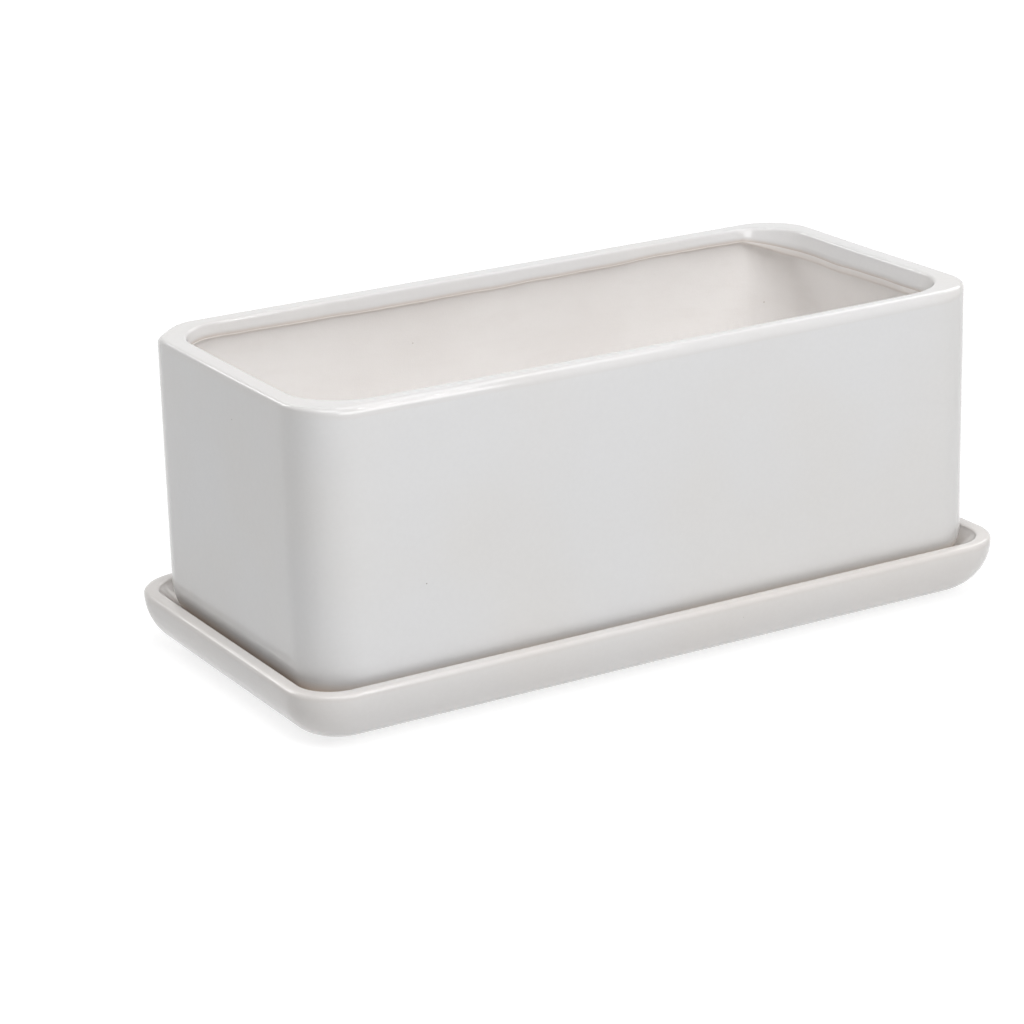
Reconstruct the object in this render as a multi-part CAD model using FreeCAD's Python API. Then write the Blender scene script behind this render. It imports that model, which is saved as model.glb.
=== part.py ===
import FreeCAD, Part
import math
import os

from FreeCAD import Vector

# A rectangular ceramic herb planter: a glazed trough that stands in a matching drip saucer.
# Millimetres. +Z is up, +X runs along the trough and -Y is its front. The origin is the middle of
# the saucer's underside, on the surface that the planter stands on.

# Pot, outside
pot_length = 252.0
pot_width = 118.65
pot_height = 101.6
pot_base_round = 16.0

# Pot, inside
pot_wall = 4.6
pot_floor = 5.0
cavity_base_round = 11.0

# Corner radius, seen from above, of the flat part of the pot's floor
pot_flat_corner_radius = 1.0

# Glazed band round the pot's mouth, which overhangs the wall under it and fills out its corners
rim_overhang = 2.3
mouth_corner_radius = 19.0
rim_band_height = 4.6
rim_outer_round = 1.4
rim_inner_round = 1.2
rim_lip_round = 0.5

# Unglazed ring that the pot stands on, a little way in from its rounded foot
pot_foot_height = 1.5
pot_foot_width = 5.0
pot_foot_inset = 3.0
pot_foot_inner_corner_radius = 7.0

# Drainage holes in the pot's floor, in a row along X
drain_hole_count = 2
drain_hole_pitch = 110.0
drain_hole_diameter = 12.0
drain_hole_round = 1.2

# Saucer: its rim stands this far out from the pot's walls, all round
saucer_margin = 7.35
saucer_height = 20.3
saucer_rim_thickness = 5.4
saucer_rim_flat = 2.6
saucer_floor = 4.85

# How far in from the saucer's rim its curved side ends, outside and inside
saucer_base_setback = 15.5
saucer_well_setback = 15.5

# Corner radius, seen from above, of the flat part of the saucer's floor
saucer_flat_corner_radius = 1.0

# Unglazed ring under the saucer, a little way in from its curved side
saucer_foot_height = 1.5
saucer_foot_width = 5.0
saucer_foot_inset = 3.0
saucer_foot_inner_corner_radius = 6.0

# How far a curve's handles reach towards its corner: in a quarter of an ellipse, and on the
# saucer's straighter inner side
ellipse_handle_share = 0.5523
saucer_well_handle_share = 0.3

# How far a cutting tool runs past the face that it cuts
overrun = 2.0

# Flat strip of floor that each wall section takes in, past its rounded foot
floor_strip = 1.0

# Sizes that follow from the ones above
pot_reach = max(pot_base_round, pot_wall + cavity_base_round) + floor_strip
pot_corner_radius = pot_reach + pot_flat_corner_radius
pot_foot_setback = pot_base_round + pot_foot_inset
rim_thickness = pot_wall + rim_overhang
rim_root_setback = (rim_outer_round + pot_wall) / 2
saucer_length = pot_length + 2 * saucer_margin
saucer_width = pot_width + 2 * saucer_margin
saucer_reach = max(saucer_base_setback, saucer_well_setback) + floor_strip
saucer_corner_radius = saucer_reach + saucer_flat_corner_radius
saucer_rim_round = (saucer_rim_thickness - saucer_rim_flat) / 2
saucer_foot_setback = saucer_base_setback + saucer_foot_inset
saucer_underside_z = saucer_foot_height
saucer_floor_z = saucer_underside_z + saucer_floor
pot_stand_z = saucer_floor_z
pot_underside_z = pot_stand_z + pot_foot_height
pot_floor_z = pot_underside_z + pot_floor
pot_top_z = pot_stand_z + pot_height
rim_band_z = pot_top_z - rim_band_height
mouth_length = pot_length - 2 * rim_thickness
mouth_width = pot_width - 2 * rim_thickness


def outline(length, width, corner, z):
    """Rounded rectangle at height z: a closed wire that starts at the middle of its +X side."""
    centre_x = length / 2 - corner
    centre_y = width / 2 - corner
    start = Vector(length / 2, 0, z)
    edges = []
    last = start
    for turn, (side_x, side_y) in enumerate([(1, 1), (-1, 1), (-1, -1), (1, -1)]):
        arc_points = []
        for share in (0.0, 0.5, 1.0):
            angle = math.radians(90 * (turn + share))
            arc_points.append(Vector(side_x * centre_x + corner * math.cos(angle),
                                     side_y * centre_y + corner * math.sin(angle), z))
        edges.append(Part.LineSegment(last, arc_points[0]).toShape())
        edges.append(Part.Arc(*arc_points).toShape())
        last = arc_points[-1]
    edges.append(Part.LineSegment(last, start).toShape())
    return Part.Wire(edges)


def slab(length, width, corner, low_z, high_z):
    """Upright block with a rounded rectangular plan, between two heights."""
    return Part.Face(outline(length, width, corner, low_z)).extrude(Vector(0, 0, high_z - low_z))


def straight(start, end):
    return Part.LineSegment(start, end).toShape()


def quarter_circle(start, end, centre):
    """Quarter circle from start to end about its centre."""
    towards_middle = (start - centre) + (end - centre)
    middle = centre + towards_middle.normalize() * start.distanceToPoint(centre)
    return Part.Arc(start, middle, end).toShape()


def corner_curve(start, end, corner, handle_share):
    """Curve from start to end, inside the corner where their tangents meet."""
    curve = Part.BezierCurve()
    curve.setPoles([
        start,
        start + (corner - start) * handle_share,
        end + (corner - end) * handle_share,
        end,
    ])
    return curve.toShape()


def carried_round(section, length, width, corner):
    """Solid ring that a closed wall section makes when it is carried round an outline."""
    return outline(length, width, corner, 0).makePipeShell([section], True, False)


def ring(length, width, inner_corner, thickness, low_z, high_z):
    """Upright ring of even thickness with a rounded rectangular plan."""
    inner = slab(length - 2 * thickness, width - 2 * thickness, inner_corner,
                 low_z - overrun, high_z + overrun)
    return slab(length, width, inner_corner + thickness, low_z, high_z).cut(inner)


def pot_wall_section():
    """Section of the pot's end wall, from the outer face inwards to its reach into the floor."""
    def at(setback, z):
        return Vector(pot_length / 2 - setback, 0, z)

    base_z = pot_underside_z + pot_base_round
    cavity_z = pot_floor_z + cavity_base_round
    cavity_setback = pot_wall + cavity_base_round
    return Part.Wire([
        straight(at(pot_reach, pot_underside_z), at(pot_base_round, pot_underside_z)),
        quarter_circle(at(pot_base_round, pot_underside_z), at(0, base_z), at(pot_base_round, base_z)),
        straight(at(0, base_z), at(0, pot_top_z - rim_outer_round)),
        quarter_circle(at(0, pot_top_z - rim_outer_round), at(rim_outer_round, pot_top_z),
                       at(rim_outer_round, pot_top_z - rim_outer_round)),
        straight(at(rim_outer_round, pot_top_z), at(pot_wall, pot_top_z)),
        straight(at(pot_wall, pot_top_z), at(pot_wall, cavity_z)),
        quarter_circle(at(pot_wall, cavity_z), at(cavity_setback, pot_floor_z), at(cavity_setback, cavity_z)),
        straight(at(cavity_setback, pot_floor_z), at(pot_reach, pot_floor_z)),
        straight(at(pot_reach, pot_floor_z), at(pot_reach, pot_underside_z)),
    ])


def mouth_edges(band, z):
    """The band's edges round the mouth at one of its two heights."""
    def on_mouth(point):
        inside_x = abs(point.x) < mouth_length / 2 + rim_inner_round
        inside_y = abs(point.y) < mouth_width / 2 + rim_inner_round
        return inside_x and inside_y and abs(point.z - z) < rim_lip_round

    return [edge for edge in band.Edges if all(on_mouth(vertex.Point) for vertex in edge.Vertexes)]


def rim_band():
    """Band inside the wall's top, with a rounded edge at the mouth and another under it."""
    block = slab(pot_length - 2 * rim_root_setback, pot_width - 2 * rim_root_setback,
                 pot_corner_radius - rim_root_setback, rim_band_z, pot_top_z)
    mouth = slab(mouth_length, mouth_width, mouth_corner_radius,
                 rim_band_z - overrun, pot_top_z + overrun)
    band = block.cut(mouth).Solids[0]
    band = band.makeFillet(rim_inner_round, mouth_edges(band, pot_top_z))
    return band.makeFillet(rim_lip_round, mouth_edges(band, rim_band_z))


def drain_hole(x):
    """Cutter for one round drainage hole, flared at both faces of the pot's floor."""
    radius = drain_hole_diameter / 2
    mouth = radius + drain_hole_round

    def at(distance, z):
        return Vector(x + distance, 0, z)

    low_z = pot_underside_z
    high_z = pot_floor_z
    section = Part.Face(Part.Wire([
        straight(at(0, low_z - overrun), at(mouth, low_z - overrun)),
        straight(at(mouth, low_z - overrun), at(mouth, low_z)),
        quarter_circle(at(mouth, low_z), at(radius, low_z + drain_hole_round),
                       at(mouth, low_z + drain_hole_round)),
        straight(at(radius, low_z + drain_hole_round), at(radius, high_z - drain_hole_round)),
        quarter_circle(at(radius, high_z - drain_hole_round), at(mouth, high_z),
                       at(mouth, high_z - drain_hole_round)),
        straight(at(mouth, high_z), at(mouth, high_z + overrun)),
        straight(at(mouth, high_z + overrun), at(0, high_z + overrun)),
        straight(at(0, high_z + overrun), at(0, low_z - overrun)),
    ]))
    return section.revolve(Vector(x, 0, 0), Vector(0, 0, 1), 360)


def planter_pot():
    """Trough with a rounded base, a thicker band round its mouth, a foot ring and drainage holes."""
    walls = carried_round(pot_wall_section(), pot_length, pot_width, pot_corner_radius)
    floor = slab(pot_length - 2 * pot_reach, pot_width - 2 * pot_reach, pot_flat_corner_radius,
                 pot_underside_z, pot_floor_z)
    foot = ring(pot_length - 2 * pot_foot_setback, pot_width - 2 * pot_foot_setback,
                pot_foot_inner_corner_radius, pot_foot_width, pot_stand_z, pot_underside_z)
    pot = walls.fuse([rim_band(), floor, foot])
    row_start = -drain_hole_pitch * (drain_hole_count - 1) / 2
    holes = [drain_hole(row_start + drain_hole_pitch * number) for number in range(drain_hole_count)]
    return pot.cut(holes).removeSplitter()


def saucer_wall_section():
    """Section of the saucer's end wall: an upswept side with a rounded rim."""
    def at(setback, z):
        return Vector(saucer_length / 2 - setback, 0, z)

    round_z = saucer_height - saucer_rim_round
    inner_round = saucer_rim_thickness - saucer_rim_round
    return Part.Wire([
        straight(at(saucer_reach, saucer_underside_z), at(saucer_base_setback, saucer_underside_z)),
        corner_curve(at(saucer_base_setback, saucer_underside_z), at(0, round_z),
                     at(0, saucer_underside_z), ellipse_handle_share),
        quarter_circle(at(0, round_z), at(saucer_rim_round, saucer_height), at(saucer_rim_round, round_z)),
        straight(at(saucer_rim_round, saucer_height), at(inner_round, saucer_height)),
        quarter_circle(at(inner_round, saucer_height), at(saucer_rim_thickness, round_z),
                       at(inner_round, round_z)),
        corner_curve(at(saucer_rim_thickness, round_z), at(saucer_well_setback, saucer_floor_z),
                     at(saucer_rim_thickness, saucer_floor_z), saucer_well_handle_share),
        straight(at(saucer_well_setback, saucer_floor_z), at(saucer_reach, saucer_floor_z)),
        straight(at(saucer_reach, saucer_floor_z), at(saucer_reach, saucer_underside_z)),
    ])


def drip_saucer():
    """Shallow tray with upswept sides, a flat floor that the pot stands on and a foot ring."""
    walls = carried_round(saucer_wall_section(), saucer_length, saucer_width, saucer_corner_radius)
    floor = slab(saucer_length - 2 * saucer_reach, saucer_width - 2 * saucer_reach,
                 saucer_flat_corner_radius, saucer_underside_z, saucer_floor_z)
    foot = ring(saucer_length - 2 * saucer_foot_setback, saucer_width - 2 * saucer_foot_setback,
                saucer_foot_inner_corner_radius, saucer_foot_width, 0, saucer_underside_z)
    return walls.fuse([floor, foot]).removeSplitter()


parts = {
    "planter_pot": planter_pot(),
    "drip_saucer": drip_saucer(),
}

os.makedirs("parts", exist_ok=True)
for name, shape in parts.items():
    shape.exportStep(f"parts/{name}.step")
    box = shape.optimalBoundingBox(True, False)
    print(f"{name}: solids {len(shape.Solids)}, valid {shape.isValid()}, volume {shape.Volume:.0f} mm3, "
          f"X {box.XMin:.2f} to {box.XMax:.2f}, Y {box.YMin:.2f} to {box.YMax:.2f}, "
          f"Z {box.ZMin:.2f} to {box.ZMax:.2f}")
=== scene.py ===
import math
from collections import namedtuple

import bmesh
import bpy
import numpy as np
from mathutils import Matrix, Vector, noise


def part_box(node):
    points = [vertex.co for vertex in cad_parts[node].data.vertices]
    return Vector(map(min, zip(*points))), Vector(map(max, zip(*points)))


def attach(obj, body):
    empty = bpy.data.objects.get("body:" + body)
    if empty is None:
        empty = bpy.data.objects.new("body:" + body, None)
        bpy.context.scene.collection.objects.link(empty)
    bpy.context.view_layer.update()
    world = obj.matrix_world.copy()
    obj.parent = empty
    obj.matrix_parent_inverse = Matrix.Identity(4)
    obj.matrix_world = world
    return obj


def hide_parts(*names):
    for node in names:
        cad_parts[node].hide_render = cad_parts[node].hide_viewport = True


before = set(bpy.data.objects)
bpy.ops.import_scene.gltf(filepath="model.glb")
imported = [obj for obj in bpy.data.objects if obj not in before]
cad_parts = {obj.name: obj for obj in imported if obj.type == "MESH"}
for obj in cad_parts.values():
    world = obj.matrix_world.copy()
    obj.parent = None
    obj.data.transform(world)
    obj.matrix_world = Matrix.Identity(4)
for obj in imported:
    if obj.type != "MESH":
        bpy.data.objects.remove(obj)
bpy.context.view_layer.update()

# Metres and degrees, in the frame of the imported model: +X along the trough, -Y its front, +Z up
pot_lo, pot_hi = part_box("planter_pot")
saucer_lo, saucer_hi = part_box("drip_saucer")

# Pot
pot_half_x = pot_hi.x
pot_half_y = pot_hi.y
pot_stand_z = pot_lo.z
pot_top_z = pot_hi.z
pot_corner = 0.018
pot_base_round = 0.016
pot_floor = 0.005
pot_foot_height = 0.0015
pot_foot_width = 0.005
pot_foot_setback = 0.019
pot_foot_inner_corner = 0.007
pot_underside_z = pot_stand_z + pot_foot_height
pot_floor_z = pot_underside_z + pot_floor

# Cavity
pot_wall = 0.0046
cavity_corner = pot_corner - pot_wall
cavity_base_round = 0.011

# Rim band: it fills out the mouth's corners. Its edge is rounded most along the front and at the
# far left corner
rim_overhang = 0.0023
rim_thickness = pot_wall + rim_overhang
rim_band_height = 0.0046
rim_band_z = pot_top_z - rim_band_height
rim_outer_round = 0.0012
rim_front_extra_round = 0.0022
rim_front_power = 4
rim_corner_extra_round = 0.0026
rim_corner_power = 8
rim_inner_round = 0.0012
rim_lip_round = 0.0005
mouth_corner = 0.019

# The band leans a little inwards, above a low ledge. On the +X wall it reaches lower and stands further
# in, the wall under it is filled out almost to its face, and its glaze ends above its lower edge
band_lean = 0.0006
band_lean_angle = 14
band_ledge = 0.0014
band_dip = 0.0041
band_dip_start_x = 0.1045
band_dip_end_x = 0.1185
band_dip_fill = 0.0010
wall_dip_fill_share = 2.1
glazed_dip_share = 0.6

# The band's lower edge also sinks a little along the far wall, most at this x
band_far_dip = 0.0014
band_far_dip_x = -0.030
band_far_dip_reach = 0.110

# The wall under the band thins out downwards to its full depth, and its corners get tighter
wall_top_corner = 0.0170
wall_thinning_depth = 0.025
wall_thinning_power = 5

# Share of thin glaze, through which the clay shows, and of painted shade, kept as one share: thin glaze
# along edges and at the glaze's end; painted shade on the lip of clay under the band and in the recess
# below it; thin glaze together with painted shade of the gap to the saucer at the pot's base
thin_on_edge = 0.06
thin_at_end = 0.45
painted_shade_under_band = 0.14
glaze_end_width = 0.0012
unglazed_strip = 0.0002
base_thinning_and_shade = 0.75
base_tint_z = 0.0210
base_tint_height = 0.0050

# Drainage holes
drain_hole_x = 0.055
drain_hole_radius = 0.006
drain_hole_round = 0.0012

# Saucer
saucer_half_x = saucer_hi.x
saucer_half_y = saucer_hi.y
saucer_stand_z = saucer_lo.z
saucer_corner = 0.0175
saucer_rim_thickness = 0.0054
saucer_rim_round = 0.0014
saucer_rim_inner_angle = 40
saucer_round_z = saucer_hi.z - saucer_rim_round
saucer_base_setback = 0.0155
saucer_base_corner = 0.0075
saucer_well_setback = 0.0155
saucer_well_handle_share = 0.12
saucer_well_corner = 0.016
saucer_floor_z = pot_stand_z
saucer_foot_height = 0.0015
saucer_foot_width = 0.005
saucer_foot_setback = 0.0185
saucer_foot_inner_corner = 0.006

# Unevenness of cast and fired ware
foot_edge_round = 0.0005
front_bow = 0.0015
front_bow_low_z = 0.030
wall_wander = 0.00030
wall_wander_length = 0.050
rim_sag = 0.00012
rim_sag_depth = 0.012
rim_sag_length = 0.045
band_wave = 0.00045
band_wave_length = 0.016
band_slow_wave_share = 0.6
band_slow_wave_length = 0.048
saucer_wander = 0.00025

# Places in the noise that each kind of unevenness is read from
wall_seed = 3.7
sag_seed = 8.1
wave_seed = 1.3
slow_wave_seed = 5.2
saucer_seed = 6.4

# Mesh steps
corner_steps = 20
long_side_steps = 90
short_side_steps = 40
wall_steps = 30
base_round_steps = 14
edge_round_steps = 5
flat_steps = 4
hole_steps = 48
sharp_angle = math.radians(38)

# Glaze. Texture scales are in features per metre
glaze_ior = 1.5
glaze_roughness = (0.04, 0.09)
gloss_scale = 60
pooling_scale = 14
pooling_range = (0.35, 0.65)
mottle_scale = 700
mottle_share = 0.05
pinhole_scale = 55
pinhole_radius = 0.00026
pinhole_share = 0.35
pinhole_colour = (0.38, 0.35, 0.33)
ripple_scale = 45
ripple_depth = 0.0006
ripple_strength = 0.35
peel_scale = 260
peel_depth = 0.00010
peel_strength = 0.25
# Warm brown that thin glaze and painted shade multiply the colour by
thinning_and_shade_tint = (0.70, 0.52, 0.37)
pot_glaze_cool = (0.80, 0.80, 0.805)
pot_glaze_warm = (0.795, 0.785, 0.775)
saucer_glaze_cool = (0.785, 0.77, 0.76)
saucer_glaze_warm = (0.78, 0.755, 0.735)

# Bare clay
clay_light = (0.925, 0.905, 0.89)
clay_dark = (0.86, 0.83, 0.81)
clay_roughness = (0.72, 0.9)
cloud_scale = 22
cloud_share = 0.6
mark_scale = 160
mark_stretch = (0.35, 0.35, 1.0)
mark_range = (0.45, 0.75)
mark_share = 0.35
mark_depth = 0.00035
mark_strength = 0.4
grain_scale = 2600
grain_range = (0.25, 0.75)
grain_share = 0.12
grain_depth = 0.00008
grain_strength = 0.5
clay_pit_scale = 140
clay_pit_radius = 0.0003
clay_pit_share = 0.25
clay_pit_colour = (0.55, 0.49, 0.45)

# Glaze and clay: the part of a noise's range that is used, how pits are cut, and the share of a
# spot's radius that is its full-strength core
noise_range = (0.3, 0.7)
pit_depth = 0.0003
pit_strength = 0.8
spot_core_share = 0.6

# Floor, as lit and as seen, and the world's light. Where the floor is seen it also glows, up to
# full white at some distance from the planter
floor_size = 6.0
floor_tone = 0.80
seen_floor_tone = 0.35
floor_glow = (0.81, 1.0)
floor_glow_reach = (0.35, 1.1)
world_level = 0.02

# Height of the point that the camera and the lamps turn about
middle_z = 0.05

# Softboxes: azimuth from the front towards +X and elevation, in degrees, then size and power
Softbox = namedtuple("Softbox", "name azimuth elevation width height power")
softbox_distance = 1.8
softboxes = [
    Softbox("key", 9, 35, 1.1, 0.7, 12.8),
    Softbox("top", -30, 62, 0.9, 0.8, 11.0),
    Softbox("left_high", -65, 60, 0.7, 0.7, 2.4),
    Softbox("right_high", 90, 70, 0.7, 0.7, 5.0),
    Softbox("back_left", -150, 35, 0.9, 0.7, 9.2),
    Softbox("back_right", 120, 35, 0.9, 0.7, 4.2),
]

# Small lamp that gives the rim its crisp highlights
sparkle_place = (0.30, -0.42, 0.85)
sparkle_width = 0.08
sparkle_height = 0.02
sparkle_power = 0.30

# Camera, front left and a little above. Its lens and sensor width are in millimetres
camera_lens = 116.8
camera_sensor_width = 36
camera_azimuth = math.radians(-29.86)
camera_elevation = math.radians(18.67)
camera_roll = math.radians(-1.72)
camera_distance = 1.1044
camera_sideways = -0.01941
camera_upwards = -0.01223

QUADRANTS = [(1, 1), (-1, 1), (-1, -1), (1, -1)]

# Those of a foot ring's stations that its bare clay lies between
BARE_FOOT = slice(1, 5)

# One ring of a swept wall: how far in from the outside it lies, its height and the radius of its
# plan corners; then how much it takes of the band's wavy edge, of its dip and its filling-out on one
# side and of its lean, of thin glaze and painted shade (one share for both), and of the rim's extra
# rounding, inwards and downwards
Station = namedtuple("Station", "setback z corner wave dip fill lean thin inward down",
                     defaults=(0.0,) * 7)


def smooth(value):
    """0 up to a value of 0, 1 from a value of 1, with a soft rise between them."""
    held = min(max(value, 0.0), 1.0)
    return held * held * (3 - 2 * held)


def outline(half_x, half_y, corner):
    """Points round a rounded rectangle from its +X side, and the outward direction at each."""
    points = []
    outward = []
    for turn, (side_x, side_y) in enumerate(QUADRANTS):
        centre = np.array((side_x * (half_x - corner), side_y * (half_y - corner)))
        angles = np.radians(90 * (turn + np.linspace(0, 1, corner_steps + 1)))
        directions = np.column_stack((np.cos(angles), np.sin(angles)))
        points.extend(centre + corner * directions)
        outward.extend(directions)
        next_x, next_y = QUADRANTS[(turn + 1) % len(QUADRANTS)]
        next_centre = np.array((next_x * (half_x - corner), next_y * (half_y - corner)))
        side_steps = short_side_steps if turn % 2 else long_side_steps
        for share in np.linspace(0, 1, side_steps + 1)[1:-1]:
            points.append(centre + corner * directions[-1] + share * (next_centre - centre))
            outward.append(directions[-1])
    return points, outward


def pot_corner_at(setback):
    """Corner radius of a ring of the pot's walls, concentric with the outside."""
    return pot_corner - setback


def mouth_corner_at(setback):
    """Corner radius of a ring of the rim's inner side, concentric with the mouth."""
    return mouth_corner + rim_thickness - setback


def no_corner(setback):
    """Corner radius where stations are turned about a hole's axis and have none."""
    return 0.0


def quarter(centre, radii, start, end, steps, corner_at, thin=0.0):
    """Stations on a quarter of an ellipse in the wall's section, between two angles in degrees."""
    stations = []
    for angle in np.radians(np.linspace(start, end, steps + 1)):
        setback = centre[0] + radii[0] * math.cos(angle)
        z = centre[1] + radii[1] * math.sin(angle)
        stations.append(Station(setback, z, corner_at(setback), thin=thin))
    return stations


def corner_curve(start, end, corner, handle_share, steps, corner_at):
    """Stations on a curve from start to end, inside the corner where their tangents meet."""
    start, end, corner = (np.array(point) for point in (start, end, corner))
    first = start + handle_share * (corner - start)
    second = end + handle_share * (corner - end)
    stations = []
    for t in np.linspace(0, 1, steps + 1):
        left = 1 - t
        setback, z = left ** 3 * start + 3 * left * t * (left * first + t * second) + t ** 3 * end
        stations.append(Station(setback, z, corner_at(setback)))
    return stations


def part_way(start, end, share):
    """Station at a share of the way from start to end."""
    return Station(*(a + share * (b - a) for a, b in zip(start, end)))


def between(start, end, steps):
    """Stations on a straight stretch of the section, without its two ends."""
    return [part_way(start, end, share) for share in np.linspace(0, 1, steps + 1)[1:-1]]


def foot_stations(setback, width, inner_corner, stand_z, underside_z):
    """Foot ring from its inner root, round its flat bottom, to its outer root."""
    inner = setback + width
    outer_corner = inner_corner + width
    edge = foot_edge_round
    return [
        Station(inner, underside_z, inner_corner),
        Station(inner, stand_z + edge, inner_corner),
        Station(inner - edge, stand_z, inner_corner + edge),
        Station(setback + edge, stand_z, outer_corner - edge),
        Station(setback, stand_z + edge, outer_corner),
        Station(setback, underside_z, outer_corner),
    ]


def pot_outside_stations():
    """Glazed skin: foot ring, rounded base, wall, rim and the glazed part of the band inside it."""
    base = (pot_base_round, pot_underside_z + pot_base_round)
    outer_rim = (rim_outer_round, pot_top_z - rim_outer_round)
    inner_rim = (rim_thickness - rim_inner_round, pot_top_z - rim_inner_round)
    stations = foot_stations(pot_foot_setback, pot_foot_width, pot_foot_inner_corner,
                             pot_stand_z, pot_underside_z)
    # Thin glaze and painted shade: the rounded base is tinted browner downwards, towards the gap to the
    # saucer
    for station in quarter(base, (pot_base_round, pot_base_round), 270, 180, base_round_steps,
                           pot_corner_at):
        thin = base_thinning_and_shade * smooth((base_tint_z - station.z) / base_tint_height)
        stations.append(station._replace(thin=thin))
    wall_foot = stations[-1]
    rim = []
    for station in quarter(outer_rim, (rim_outer_round, rim_outer_round), 180, 90,
                           2 * edge_round_steps, pot_corner_at, thin=thin_on_edge):
        inward = station.setback / rim_outer_round
        down = (pot_top_z - station.z) / rim_outer_round
        rim.append(station._replace(inward=inward, down=down))
    stations += between(wall_foot, rim[0]._replace(thin=0.0, down=0.0), wall_steps)
    stations += rim
    inside = quarter(inner_rim, (rim_inner_round, rim_inner_round), 90, band_lean_angle,
                     edge_round_steps, mouth_corner_at, thin=thin_on_edge)
    stations += between(rim[-1], inside[0], flat_steps)
    stations += inside
    end_z = rim_band_z + rim_lip_round + unglazed_strip
    glaze_end = Station(rim_thickness, end_z, mouth_corner, wave=1.0, dip=glazed_dip_share, fill=1.0,
                        lean=1.0, thin=thin_at_end)
    above_end = glaze_end._replace(z=end_z + glaze_end_width, thin=thin_on_edge)
    stations += between(inside[-1], above_end, flat_steps)
    return stations + [above_end, glaze_end]


def pot_inside_stations():
    """Bare clay inside: the band's lower edge, then down the wall to the floor."""
    lip = quarter((rim_thickness - rim_lip_round, rim_band_z + rim_lip_round),
                  (rim_lip_round, rim_lip_round), 0, -90, edge_round_steps, mouth_corner_at)
    stations = [Station(rim_thickness, rim_band_z + rim_lip_round + unglazed_strip / 2, mouth_corner,
                        wave=1.0, dip=glazed_dip_share, fill=1.0, lean=1.0)]
    # Painted shade: the lip and the root of the wall under the band are tinted brown, where the band's
    # shadow falls
    for station in lip:
        stations.append(station._replace(wave=1.0, dip=1.0, fill=1.0, lean=1.0, thin=painted_shade_under_band))
    root = Station(rim_thickness - band_ledge, rim_band_z, wall_top_corner, wave=1.0, dip=1.0,
                   fill=wall_dip_fill_share, lean=1.0, thin=painted_shade_under_band)
    thinned = Station(pot_wall, rim_band_z - wall_thinning_depth, cavity_corner)
    base = (pot_wall + cavity_base_round, pot_floor_z + cavity_base_round)
    rounded = quarter(base, (cavity_base_round, cavity_base_round), 180, 270, base_round_steps,
                      pot_corner_at)
    stations.append(root)
    for share in np.linspace(0, 1, wall_steps)[1:]:
        share_left = (1 - share) ** wall_thinning_power
        stations.append(part_way(root, thinned, share)._replace(
            setback=pot_wall + share_left * (root.setback - pot_wall),
            corner=cavity_corner + share_left * (wall_top_corner - cavity_corner),
            thin=0.0))
    stations += between(thinned, rounded[0], wall_steps)
    return stations + rounded


def saucer_stations():
    """Saucer from its foot ring, up the curved side, over the rim and down into the well."""
    def corner_at(setback):
        return saucer_corner - setback

    def side_corner_at(setback):
        return saucer_corner + setback / saucer_base_setback * (saucer_base_corner - saucer_corner)

    def well_corner_at(setback):
        share = (setback - well_top.setback) / (saucer_well_setback - well_top.setback)
        return well_top.corner + share * (saucer_well_corner - well_top.corner)

    underside_z = saucer_stand_z + saucer_foot_height
    outer = (saucer_base_setback, saucer_round_z)
    rim_flat_end = saucer_rim_thickness - saucer_rim_round
    stations = foot_stations(saucer_foot_setback, saucer_foot_width, saucer_foot_inner_corner,
                             saucer_stand_z, underside_z)
    stations += quarter(outer, (saucer_base_setback, saucer_round_z - underside_z), 270, 180,
                        2 * base_round_steps, side_corner_at)[:-1]
    stations += quarter((saucer_rim_round, saucer_round_z), (saucer_rim_round, saucer_rim_round),
                        180, 90, edge_round_steps, corner_at, thin=thin_on_edge)
    stations += quarter((rim_flat_end, saucer_round_z), (saucer_rim_round, saucer_rim_round),
                        90, saucer_rim_inner_angle, edge_round_steps, corner_at, thin=thin_on_edge)
    well_top = stations[-1]
    stations += corner_curve((well_top.setback, well_top.z), (saucer_well_setback, saucer_floor_z),
                             (well_top.setback, saucer_floor_z), saucer_well_handle_share,
                             2 * base_round_steps, well_corner_at)[1:]
    return stations


def noise_at(x, y, z, length, seed):
    """Smooth noise from about -1 to 1, whose bumps are about as far apart as length."""
    return noise.noise(Vector((x / length + seed, y / length - seed, z / length)))


def pot_offset(x, y, z, outward):
    """How far the pot's walls stray outwards: a bow in the front, and a slow wander all round."""
    across = max(0.0, 1 - (x / (pot_half_x - pot_corner)) ** 2)
    up = smooth((z - front_bow_low_z) / (pot_top_z - front_bow_low_z))
    bow = front_bow * max(0.0, -outward[1]) ** 2 * across * up
    above_base = smooth((z - pot_underside_z - pot_base_round / 2) / pot_base_round)
    return bow + above_base * wall_wander * noise_at(x, y, z, wall_wander_length, wall_seed)


def dip_share(x):
    """1 where the band has its full dip, on the +X wall, and 0 where it has none."""
    return min(max((x - band_dip_start_x) / (band_dip_end_x - band_dip_start_x), 0.0), 1.0)


def far_dip(x, y):
    """How much lower the band's edge lies along the far wall."""
    along = max(0.0, 1 - ((x - band_far_dip_x) / band_far_dip_reach) ** 2)
    return band_far_dip * along * max(0.0, y / pot_half_y)


def rim_extra_round(outward):
    """How much more than elsewhere the rim's outer edge is rounded, by the way that it faces."""
    front = max(0.0, -outward[1]) ** rim_front_power
    far_left = max(0.0, (outward[1] - outward[0]) / math.sqrt(2)) ** rim_corner_power
    return rim_front_extra_round * front + rim_corner_extra_round * far_left


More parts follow.
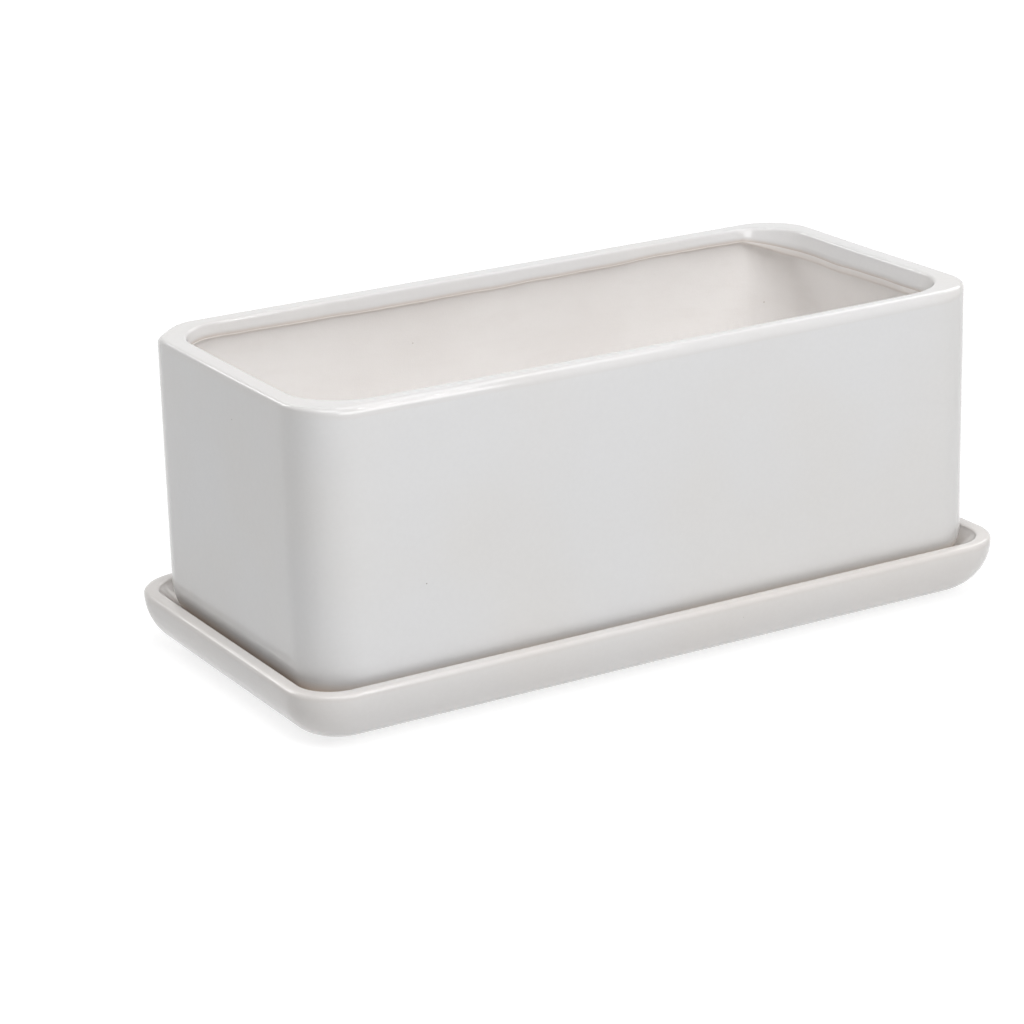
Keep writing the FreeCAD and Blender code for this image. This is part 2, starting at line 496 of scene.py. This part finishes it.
def pot_drop(x, y, station):
    """How far a point of the pot sinks: the rim sags, and the band's edge is wavy and dips at +X."""
    near_rim = smooth((station.z - (pot_top_z - rim_sag_depth)) / rim_sag_depth)
    sag = rim_sag * near_rim * (1 + noise_at(x, y, 0, rim_sag_length, sag_seed)) / 2
    waver = noise_at(x, y, 0, band_wave_length, wave_seed)
    waver += band_slow_wave_share * noise_at(x, y, 0, band_slow_wave_length, slow_wave_seed)
    edge = station.wave * (band_wave * waver + far_dip(x, y))
    return sag + edge + station.dip * band_dip * dip_share(x)


def saucer_offset(x, y, z, outward):
    """How far the saucer's walls stray outwards: below zero, so that it keeps within its size."""
    above_foot = smooth((z - saucer_foot_height) / saucer_foot_height)
    return above_foot * saucer_wander * (noise_at(x, y, z, wall_wander_length, saucer_seed) - 1) / 2


def no_drop(x, y, station):
    """Nothing in the saucer sags."""
    return 0.0


def sweep(mesh, half_x, half_y, stations, offset, drop, thinning_and_shade_layer):
    """Adds one ring of vertices for each station and joins the rings with quads."""
    rings = []
    for station in stations:
        points, outward = outline(half_x - station.setback, half_y - station.setback, station.corner)
        ring = []
        for (x, y), direction in zip(points, outward):
            extra_round = rim_extra_round(direction)
            push = offset(x, y, station.z, direction) - station.inward * extra_round
            push -= station.lean * band_lean + station.fill * band_dip_fill * dip_share(x)
            place = (x + push * direction[0], y + push * direction[1],
                     station.z - drop(x, y, station) - station.down * extra_round)
            vertex = mesh.verts.new(place)
            vertex[thinning_and_shade_layer] = station.thin
            ring.append(vertex)
        rings.append(ring)
    for low, high in zip(rings, rings[1:]):
        for index in range(len(low)):
            following = (index + 1) % len(low)
            mesh.faces.new((low[index], low[following], high[following], high[index]))
    return rings


def drain_hole_rings(mesh, centre_x):
    """Wall of one drainage hole, flared at both faces, from the floor's top down."""
    flare = drain_hole_round
    top = quarter((drain_hole_radius + flare, pot_floor_z - flare), (flare, flare), 90, 180,
                  edge_round_steps, no_corner)
    bottom = quarter((drain_hole_radius + flare, pot_underside_z + flare), (flare, flare), 180, 270,
                     edge_round_steps, no_corner)
    rings = []
    for station in top + bottom:
        ring = []
        for angle in np.linspace(0, 2 * math.pi, hole_steps, endpoint=False):
            ring.append(mesh.verts.new((centre_x + station.setback * math.cos(angle),
                                        station.setback * math.sin(angle), station.z)))
        rings.append(ring)
    for upper, lower in zip(rings, rings[1:]):
        for index in range(hole_steps):
            following = (index + 1) % hole_steps
            mesh.faces.new((upper[index], upper[following], lower[following], lower[index]))
    return rings


def fill(mesh, loops, upwards):
    """Flat floor between closed loops of vertices, the first of them the outer one."""
    edges = []
    for loop in loops:
        for index, vertex in enumerate(loop):
            edges.append(mesh.edges.get((vertex, loop[(index + 1) % len(loop)])))
    direction = Vector((0, 0, 1 if upwards else -1))
    bmesh.ops.triangle_fill(mesh, use_beauty=True, edges=edges, normal=direction)


def finished_piece(name, mesh, materials):
    """Object from a bmesh, shaded smooth with its sharp edges kept."""
    bmesh.ops.recalc_face_normals(mesh, faces=mesh.faces)
    for face in mesh.faces:
        face.smooth = True
    for edge in mesh.edges:
        edge.smooth = edge.is_manifold and edge.calc_face_angle() < sharp_angle
    data = bpy.data.meshes.new(name)
    mesh.to_mesh(data)
    mesh.free()
    for material in materials:
        data.materials.append(material)
    piece = bpy.data.objects.new(name, data)
    bpy.context.scene.collection.objects.link(piece)
    return piece


def build_pot(materials):
    mesh = bmesh.new()
    thinning_and_shade_layer = mesh.verts.layers.float.new("glaze_thinning_and_shade")
    outside = pot_outside_stations()
    inside = pot_inside_stations()
    rings = sweep(mesh, pot_half_x, pot_half_y, outside + inside, pot_offset, pot_drop, thinning_and_shade_layer)
    holes = [drain_hole_rings(mesh, x) for x in (-drain_hole_x, drain_hole_x)]
    fill(mesh, [rings[0]] + [hole[-1] for hole in holes], upwards=False)
    fill(mesh, [rings[-1]] + [hole[0] for hole in holes], upwards=True)
    bare = {vertex for ring in rings[len(outside):] for vertex in ring}
    bare |= {vertex for hole in holes for ring in hole for vertex in ring}
    foot = {vertex for ring in rings[BARE_FOOT] for vertex in ring}
    for face in mesh.faces:
        in_clay = any(vertex in bare for vertex in face.verts)
        face.material_index = 1 if in_clay or all(vertex in foot for vertex in face.verts) else 0
    return finished_piece("trough_shell", mesh, materials)


def build_saucer(materials):
    mesh = bmesh.new()
    thinning_and_shade_layer = mesh.verts.layers.float.new("glaze_thinning_and_shade")
    rings = sweep(mesh, saucer_half_x, saucer_half_y, saucer_stations(), saucer_offset, no_drop,
                  thinning_and_shade_layer)
    fill(mesh, [rings[0]], upwards=False)
    fill(mesh, [rings[-1]], upwards=True)
    foot = {vertex for ring in rings[BARE_FOOT] for vertex in ring}
    for face in mesh.faces:
        face.material_index = 1 if all(vertex in foot for vertex in face.verts) else 0
    return finished_piece("saucer_tray", mesh, materials)


def new_material(name):
    material = bpy.data.materials.new(name)
    material.use_nodes = True
    nodes = material.node_tree.nodes
    return material, nodes, material.node_tree.links, nodes["Principled BSDF"]


def noise_texture(nodes, links, coordinates, scale, detail=2.0, roughness=0.5):
    texture = nodes.new("ShaderNodeTexNoise")
    texture.inputs["Scale"].default_value = scale
    texture.inputs["Detail"].default_value = detail
    texture.inputs["Roughness"].default_value = roughness
    links.new(coordinates, texture.inputs["Vector"])
    return texture.outputs["Fac"]


def remap(nodes, links, value, source, target):
    """Takes a value from its range, source, to the range target, and holds it there."""
    node = nodes.new("ShaderNodeMapRange")
    node.interpolation_type = "SMOOTHSTEP"
    node.inputs["From Min"].default_value, node.inputs["From Max"].default_value = source
    node.inputs["To Min"].default_value, node.inputs["To Max"].default_value = target
    links.new(value, node.inputs["Value"])
    return node.outputs["Result"]


def mix_colour(nodes, links, share, first, second, blend="MIX"):
    """Mixes two colours, each a socket or an RGB triple, by a share, a socket or a number."""
    node = nodes.new("ShaderNodeMix")
    node.data_type = "RGBA"
    node.blend_type = blend
    for socket, value in ((node.inputs[0], share), (node.inputs[6], first), (node.inputs[7], second)):
        if isinstance(value, bpy.types.NodeSocket):
            links.new(value, socket)
        elif isinstance(value, tuple):
            socket.default_value = (*value, 1.0)
        else:
            socket.default_value = value
    return node.outputs[2]


def spots(nodes, links, coordinates, scale, radius, share_kept):
    """Round spots strewn at random: 1 inside a spot and 0 outside."""
    cells = nodes.new("ShaderNodeTexVoronoi")
    cells.inputs["Scale"].default_value = scale
    links.new(coordinates, cells.inputs["Vector"])
    edge = radius * scale
    spot = remap(nodes, links, cells.outputs["Distance"], (spot_core_share * edge, edge), (1, 0))
    split = nodes.new("ShaderNodeSeparateColor")
    links.new(cells.outputs["Color"], split.inputs["Color"])
    kept = nodes.new("ShaderNodeMath")
    kept.operation = "LESS_THAN"
    kept.inputs[1].default_value = share_kept
    links.new(split.outputs["Red"], kept.inputs[0])
    both = nodes.new("ShaderNodeMath")
    both.operation = "MULTIPLY"
    links.new(spot, both.inputs[0])
    links.new(kept.outputs["Value"], both.inputs[1])
    return both.outputs["Value"]


def bump(nodes, links, height, distance, strength, below=None):
    node = nodes.new("ShaderNodeBump")
    node.inputs["Distance"].default_value = distance
    node.inputs["Strength"].default_value = strength
    links.new(height, node.inputs["Height"])
    if below is not None:
        links.new(below, node.inputs["Normal"])
    return node.outputs["Normal"]


def glaze_material(name, cool, warm):
    """Glossy white glaze: soft pooling in its tone, thin warm edges, a base tinted brown by thin glaze
    and painted shade, pinholes and orange peel.
    """
    material, nodes, links, shader = new_material(name)
    coordinates = nodes.new("ShaderNodeTexCoord").outputs["Object"]
    thin = nodes.new("ShaderNodeAttribute")
    thin.attribute_name = "glaze_thinning_and_shade"
    pooling = noise_texture(nodes, links, coordinates, pooling_scale)
    colour = mix_colour(nodes, links, remap(nodes, links, pooling, pooling_range, (0, 1)), cool, warm)
    mottle = noise_texture(nodes, links, coordinates, mottle_scale, detail=3.0)
    colour = mix_colour(nodes, links, remap(nodes, links, mottle, noise_range, (0, mottle_share)),
                        colour, warm, "MULTIPLY")
    # Thin glaze and painted shade, read from one attribute, multiply in the same warm brown
    colour = mix_colour(nodes, links, thin.outputs["Fac"], colour, thinning_and_shade_tint, "MULTIPLY")
    pinholes = spots(nodes, links, coordinates, pinhole_scale, pinhole_radius, pinhole_share)
    colour = mix_colour(nodes, links, pinholes, colour, pinhole_colour)
    links.new(colour, shader.inputs["Base Color"])
    gloss = noise_texture(nodes, links, coordinates, gloss_scale, detail=3.0)
    links.new(remap(nodes, links, gloss, noise_range, glaze_roughness), shader.inputs["Roughness"])
    shader.inputs["IOR"].default_value = glaze_ior
    ripple = noise_texture(nodes, links, coordinates, ripple_scale, detail=1.0)
    peel = noise_texture(nodes, links, coordinates, peel_scale)
    rippled = bump(nodes, links, ripple, ripple_depth, ripple_strength)
    peeled = bump(nodes, links, peel, peel_depth, peel_strength, rippled)
    links.new(bump(nodes, links, pinholes, -pit_depth, pit_strength, peeled), shader.inputs["Normal"])
    return material


def clay_material(name, light, dark):
    """Bare fired clay: matt and warm, with a fine grain, sponge marks, small pits and painted shade in
    brown on the lip and in the recess under the band.
    """
    material, nodes, links, shader = new_material(name)
    coordinates = nodes.new("ShaderNodeTexCoord").outputs["Object"]
    thin = nodes.new("ShaderNodeAttribute")
    thin.attribute_name = "glaze_thinning_and_shade"
    stretch = nodes.new("ShaderNodeMapping")
    stretch.inputs["Scale"].default_value = mark_stretch
    links.new(coordinates, stretch.inputs["Vector"])
    cloud = noise_texture(nodes, links, coordinates, cloud_scale, detail=3.0)
    clouded = remap(nodes, links, cloud, noise_range, (0, cloud_share))
    colour = mix_colour(nodes, links, clouded, light, dark)
    marks = noise_texture(nodes, links, stretch.outputs["Vector"], mark_scale, detail=4.0, roughness=0.6)
    marked = remap(nodes, links, marks, mark_range, (0, mark_share))
    colour = mix_colour(nodes, links, marked, colour, dark)
    grain = noise_texture(nodes, links, coordinates, grain_scale)
    grained = remap(nodes, links, grain, grain_range, (grain_share, 0))
    colour = mix_colour(nodes, links, grained, colour, dark)
    # Painted shade under the band, and thin glaze, multiply in the same warm brown
    colour = mix_colour(nodes, links, thin.outputs["Fac"], colour, thinning_and_shade_tint, "MULTIPLY")
    pits = spots(nodes, links, coordinates, clay_pit_scale, clay_pit_radius, clay_pit_share)
    colour = mix_colour(nodes, links, pits, colour, clay_pit_colour)
    links.new(colour, shader.inputs["Base Color"])
    links.new(remap(nodes, links, cloud, noise_range, clay_roughness), shader.inputs["Roughness"])
    rubbed = bump(nodes, links, marks, mark_depth, mark_strength)
    rough = bump(nodes, links, grain, grain_depth, grain_strength, rubbed)
    links.new(bump(nodes, links, pits, -pit_depth, pit_strength, rough), shader.inputs["Normal"])
    return material


def seen_directly(nodes, links):
    """1 for rays from the camera, and for those seen in gloss or through glass; 0 for the rest."""
    path = nodes.new("ShaderNodeLightPath")
    total = path.outputs["Is Camera Ray"]
    for name in ("Is Glossy Ray", "Is Transmission Ray"):
        larger = nodes.new("ShaderNodeMath")
        larger.operation = "MAXIMUM"
        links.new(total, larger.inputs[0])
        links.new(path.outputs[name], larger.inputs[1])
        total = larger.outputs["Value"]
    return total


def build_floor():
    """Pale floor that shows white round the object and keeps its shadow."""
    bpy.ops.mesh.primitive_plane_add(size=floor_size, location=(0, 0, 0))
    floor = bpy.context.object
    floor.name = "floor"
    material = bpy.data.materials.new("floor_paper")
    material.use_nodes = True
    nodes = material.node_tree.nodes
    links = material.node_tree.links
    nodes.clear()
    output = nodes.new("ShaderNodeOutputMaterial")
    matt = nodes.new("ShaderNodeBsdfDiffuse")
    matt.inputs["Color"].default_value = (floor_tone, floor_tone, floor_tone, 1)
    shaded = nodes.new("ShaderNodeBsdfDiffuse")
    shaded.inputs["Color"].default_value = (seen_floor_tone, seen_floor_tone, seen_floor_tone, 1)
    glow = nodes.new("ShaderNodeEmission")
    reach = nodes.new("ShaderNodeVectorMath")
    reach.operation = "LENGTH"
    links.new(nodes.new("ShaderNodeTexCoord").outputs["Object"], reach.inputs[0])
    links.new(remap(nodes, links, reach.outputs["Value"], floor_glow_reach, floor_glow),
              glow.inputs["Strength"])
    shown = nodes.new("ShaderNodeAddShader")
    links.new(shaded.outputs["BSDF"], shown.inputs[0])
    links.new(glow.outputs["Emission"], shown.inputs[1])
    choose = nodes.new("ShaderNodeMixShader")
    links.new(seen_directly(nodes, links), choose.inputs["Fac"])
    links.new(matt.outputs["BSDF"], choose.inputs[1])
    links.new(shown.outputs["Shader"], choose.inputs[2])
    links.new(choose.outputs["Shader"], output.inputs["Surface"])
    floor.data.materials.append(material)


def build_world():
    """White backdrop where it is seen, and an even, dimmer sky for the light on the object."""
    world = bpy.data.worlds.new("studio")
    bpy.context.scene.world = world
    world.use_nodes = True
    nodes = world.node_tree.nodes
    links = world.node_tree.links
    background = nodes["Background"]
    background.inputs["Color"].default_value = (1, 1, 1, 1)
    links.new(remap(nodes, links, seen_directly(nodes, links), (0, 1), (world_level, 1)),
              background.inputs["Strength"])


def add_lamp(name, place, width, height, power):
    """Rectangular lamp aimed at the planter's middle."""
    data = bpy.data.lights.new(name, "AREA")
    data.shape = "RECTANGLE"
    data.size = width
    data.size_y = height
    data.energy = power
    lamp = bpy.data.objects.new(name, data)
    bpy.context.scene.collection.objects.link(lamp)
    lamp.location = place
    lamp.rotation_mode = "QUATERNION"
    lamp.rotation_quaternion = (Vector((0, 0, middle_z)) - Vector(place)).to_track_quat("-Z", "Y")


def build_lights():
    for box in softboxes:
        turn = math.radians(box.azimuth)
        rise = math.radians(box.elevation)
        level_distance = softbox_distance * math.cos(rise)
        place = (level_distance * math.sin(turn), -level_distance * math.cos(turn),
                 middle_z + softbox_distance * math.sin(rise))
        add_lamp(box.name, place, box.width, box.height, box.power)
    add_lamp("sparkle", sparkle_place, sparkle_width, sparkle_height, sparkle_power)


def build_camera():
    """Camera from the front left, a little above, as the photograph was taken."""
    aim = Vector((0, 0, middle_z))
    back = Vector((math.sin(camera_azimuth) * math.cos(camera_elevation),
                   -math.cos(camera_azimuth) * math.cos(camera_elevation), math.sin(camera_elevation)))
    level = Vector((math.cos(camera_azimuth), math.sin(camera_azimuth), 0))
    above = back.cross(level)
    right = math.cos(camera_roll) * level + math.sin(camera_roll) * above
    up = math.cos(camera_roll) * above - math.sin(camera_roll) * level
    place = aim + back * camera_distance + right * camera_sideways + up * camera_upwards
    data = bpy.data.cameras.new("camera")
    data.lens = camera_lens
    data.sensor_width = camera_sensor_width
    camera = bpy.data.objects.new("camera", data)
    bpy.context.scene.collection.objects.link(camera)
    turn = Matrix((right, up, back)).transposed().to_4x4()
    camera.matrix_world = Matrix.Translation(place) @ turn
    bpy.context.scene.camera = camera


bpy.context.scene.view_settings.view_transform = "Standard"
pot_glaze = glaze_material("pot_glaze", pot_glaze_cool, pot_glaze_warm)
saucer_glaze = glaze_material("saucer_glaze", saucer_glaze_cool, saucer_glaze_warm)
bare_clay = clay_material("bare_clay", clay_light, clay_dark)

pot = build_pot([pot_glaze, bare_clay])
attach(pot, "pot")
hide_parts("planter_pot")

saucer = build_saucer([saucer_glaze, bare_clay])
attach(saucer, "saucer")
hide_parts("drip_saucer")

build_floor()
build_world()
build_lights()
build_camera()
